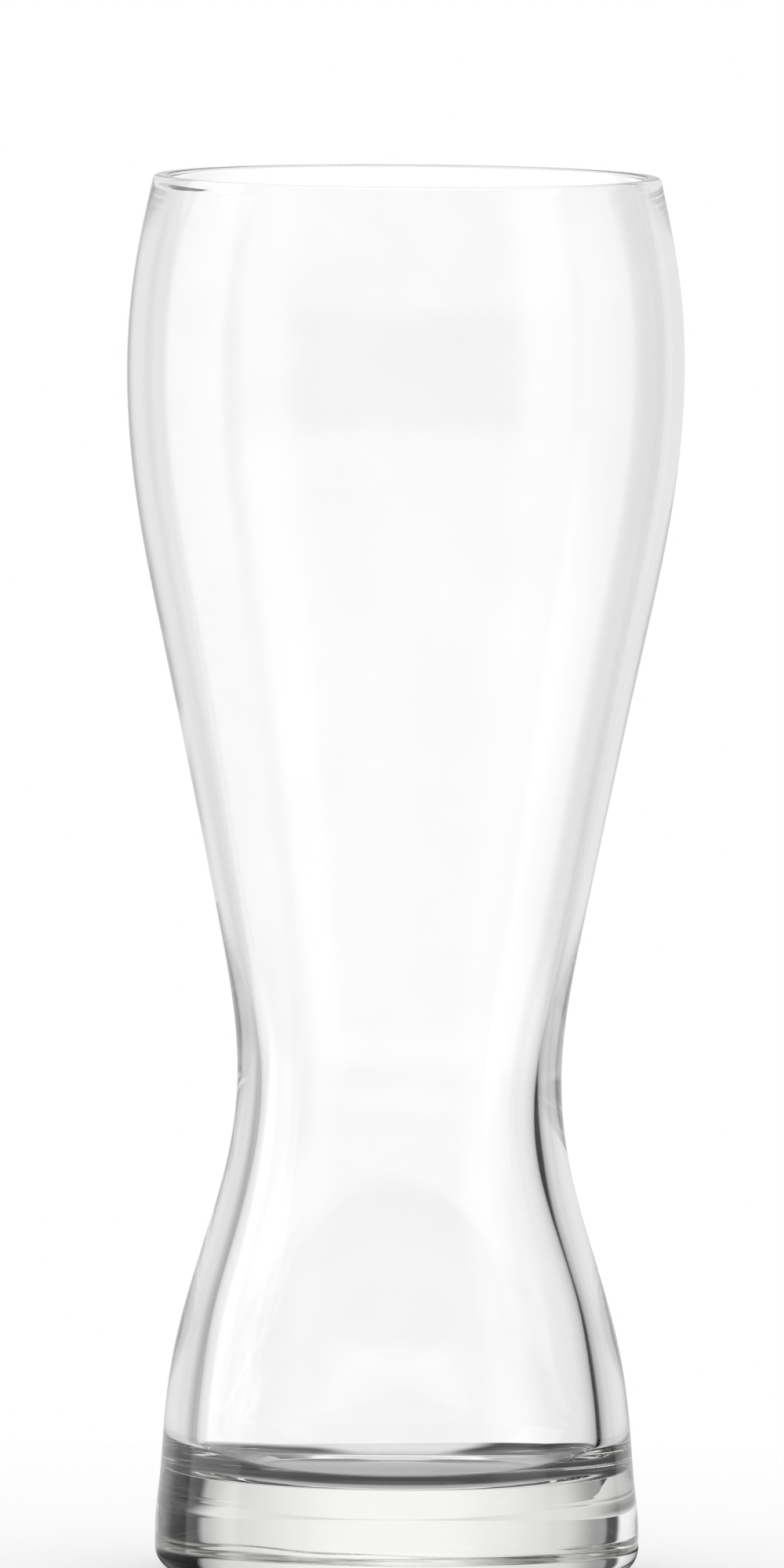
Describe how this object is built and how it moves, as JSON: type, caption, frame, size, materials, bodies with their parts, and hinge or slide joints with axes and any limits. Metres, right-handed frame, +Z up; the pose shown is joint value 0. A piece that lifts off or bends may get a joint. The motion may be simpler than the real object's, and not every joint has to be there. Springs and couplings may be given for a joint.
{
  "type": "weizen beer glass",
  "caption": "Tall one-piece clear beer glass with a heavy solid base, a flared hollow foot, a narrow waist and a long bowl that swells to a belly and draws in at the lip.",
  "frame": {"origin": "centre of the standing ring, on the table under the glass's axis", "axes": "+Z up along the axis of the glass, from the standing ring towards the lip; +X and +Y lie level, and the glass is the same all round"},
  "size_m": [0.088, 0.088, 0.221],
  "materials": {
    "clear_glass": "clear soda-lime glass, blown smooth and fire-polished at the lip, with a faint grey-green tint where the wall is thin",
    "thick_glass": "the same clear glass in a solid base, with the grey-green tint that thick glass shows"
  },
  "bodies": {
    "root": {"rim": "clear_glass", "crown": "clear_glass", "belly": "clear_glass", "taper": "clear_glass", "waist": "clear_glass", "foot": "clear_glass", "base": "thick_glass"}
  },
  "joints": []
}
